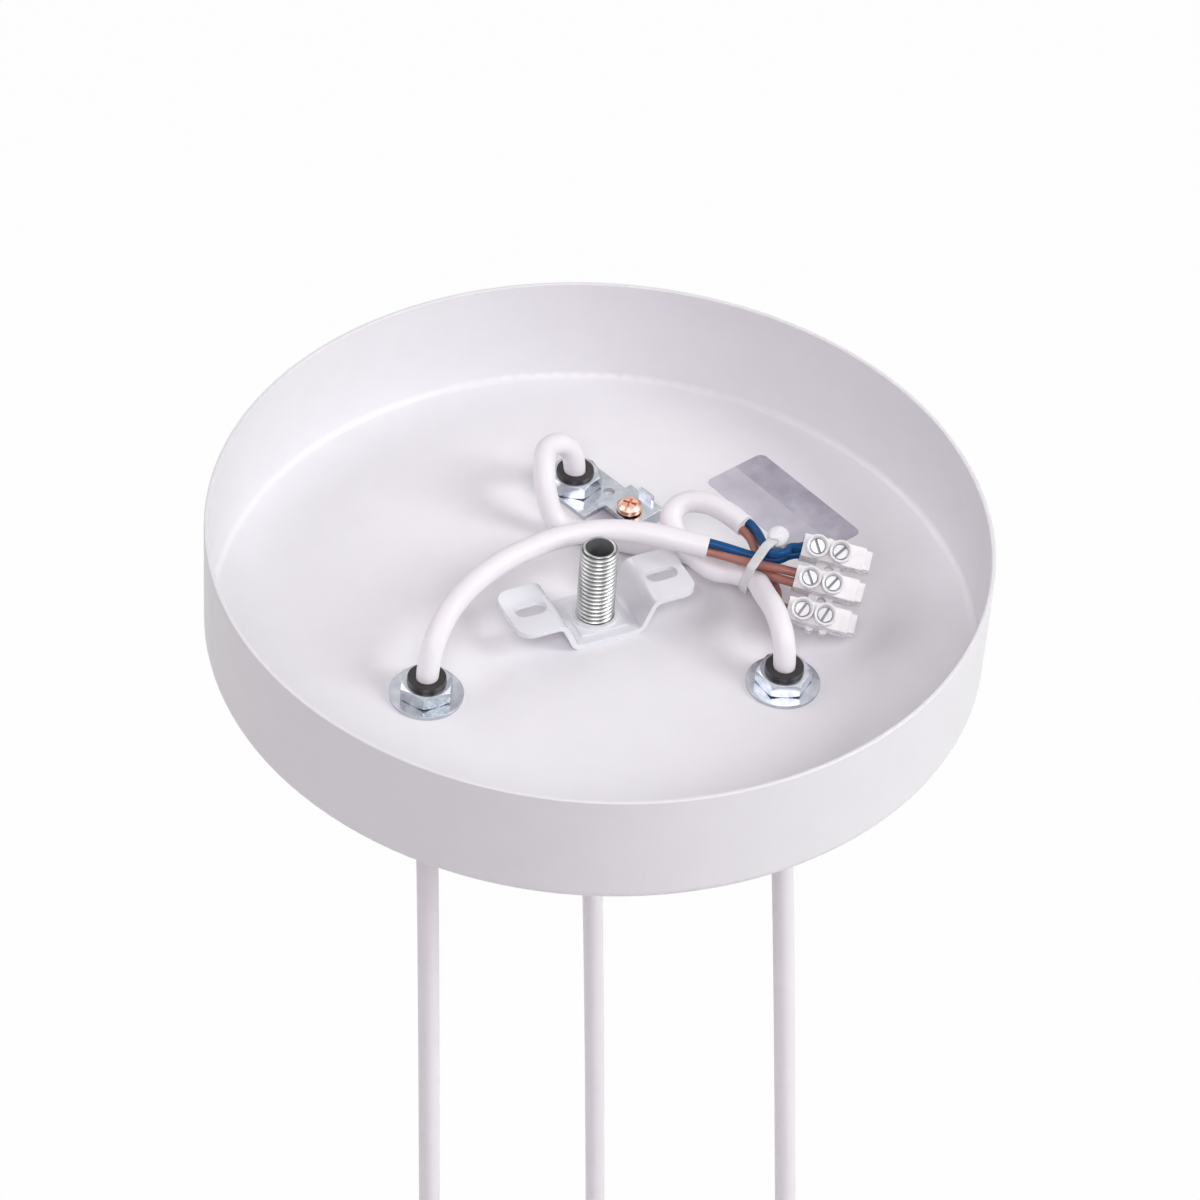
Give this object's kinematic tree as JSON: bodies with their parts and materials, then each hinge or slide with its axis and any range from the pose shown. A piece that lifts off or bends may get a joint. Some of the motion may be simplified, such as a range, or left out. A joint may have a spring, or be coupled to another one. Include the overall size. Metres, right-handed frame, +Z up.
{
  "type": "electrical ceiling rose",
  "caption": "White round multi-outlet ceiling rose shown open from the ceiling side, with bracket, terminal block, earth plate, cord grips and hanging pendant cables.",
  "frame": {"origin": "axis of the rose at the top face of the bracket's ears, which rest on the ceiling", "axes": "+Z up along the rose's axis toward the ceiling, X along the line through the bracket's two slots"},
  "size_m": [0.2, 0.2, 0.3709],
  "materials": {
    "white_coat": "satin",
    "bracket_coat": "satin",
    "zinc": "satin",
    "bright_plate": "polished",
    "copper_screw": "satin",
    "black_moulding": "satin",
    "terminal_moulding": "satin",
    "terminal_brass": "satin",
    "tie_moulding": "satin",
    "white_sheath": "satin",
    "blue_sleeve": "satin",
    "brown_sleeve": "satin",
    "foil": "satin",
    "holder_moulding": "gloss"
  },
  "bodies": {
    "rose": {"canopy": "white_coat", "mounting_bracket": "bracket_coat", "threaded_tube": "zinc", "tube_washer": "zinc", "tube_nut": "zinc", "cord_grip_right": "black_moulding", "grip_nut_right": "bright_plate", "cord_grip_rear": "black_moulding", "grip_nut_rear": "bright_plate", "cord_grip_left": "black_moulding", "grip_nut_left": "bright_plate", "grip_washer_left": "bright_plate", "grip_washer_right": "bright_plate", "earth_plate": "bright_plate", "terminal_housing": "terminal_moulding", "brass_insert_upper": "terminal_brass", "brass_insert_middle": "terminal_brass", "brass_insert_lower": "terminal_brass", "cable_tie": "tie_moulding", "rating_label": "foil", "lead_right": "white_sheath", "cable_right": "white_sheath", "lamp_holder_right": "holder_moulding", "lead_rear": "white_sheath", "cable_rear": "white_sheath", "lamp_holder_rear": "holder_moulding", "lead_left": "white_sheath", "cable_left": "white_sheath", "lamp_holder_left": "holder_moulding", "core_blue_right": "blue_sleeve", "core_brown_right": "brown_sleeve", "core_blue_rear": "blue_sleeve", "core_brown_rear": "brown_sleeve", "core_blue_left": "blue_sleeve", "core_brown_left": "brown_sleeve"},
    "clamp_screw_upper_inlet": {"clamp_screw_upper_inlet": "zinc"},
    "clamp_screw_upper_outlet": {"clamp_screw_upper_outlet": "zinc"},
    "clamp_screw_middle_inlet": {"clamp_screw_middle_inlet": "zinc"},
    "clamp_screw_middle_outlet": {"clamp_screw_middle_outlet": "zinc"},
    "clamp_screw_lower_inlet": {"clamp_screw_lower_inlet": "zinc"},
    "clamp_screw_lower_outlet": {"clamp_screw_lower_outlet": "zinc"},
    "earth_screw": {"earth_screw": "copper_screw"}
  },
  "joints": [
    {"name": "turn_upper_inlet", "type": "hinge", "parent": "rose", "child": "clamp_screw_upper_inlet", "pos_m": [0.05374, -0.01695, 0.01182], "axis": [-0.2606, -0.5596, 0.7867], "range_deg": [0, 720]},
    {"name": "turn_upper_outlet", "type": "hinge", "parent": "rose", "child": "clamp_screw_upper_outlet", "pos_m": [0.05864, -0.02032, 0.01105], "axis": [-0.2606, -0.5596, 0.7867], "range_deg": [0, 720]},
    {"name": "turn_middle_inlet", "type": "hinge", "parent": "rose", "child": "clamp_screw_middle_inlet", "pos_m": [0.04942, -0.02207, 0.00675], "axis": [-0.2606, -0.5596, 0.7867], "range_deg": [0, 720]},
    {"name": "turn_middle_outlet", "type": "hinge", "parent": "rose", "child": "clamp_screw_middle_outlet", "pos_m": [0.05432, -0.02544, 0.00598], "axis": [-0.2606, -0.5596, 0.7867], "range_deg": [0, 720]},
    {"name": "turn_lower_inlet", "type": "hinge", "parent": "rose", "child": "clamp_screw_lower_inlet", "pos_m": [0.0451, -0.02719, 0.00168], "axis": [-0.2606, -0.5596, 0.7867], "range_deg": [0, 720]},
    {"name": "turn_lower_outlet", "type": "hinge", "parent": "rose", "child": "clamp_screw_lower_outlet", "pos_m": [0.05001, -0.03056, 0.0009], "axis": [-0.2606, -0.5596, 0.7867], "range_deg": [0, 720]},
    {"name": "turn_earth_screw", "type": "hinge", "parent": "rose", "child": "earth_screw", "pos_m": [0.02459, 0.03175, -0.006], "axis": [0, 0, 1], "range_deg": [0, 720]}
  ]
}
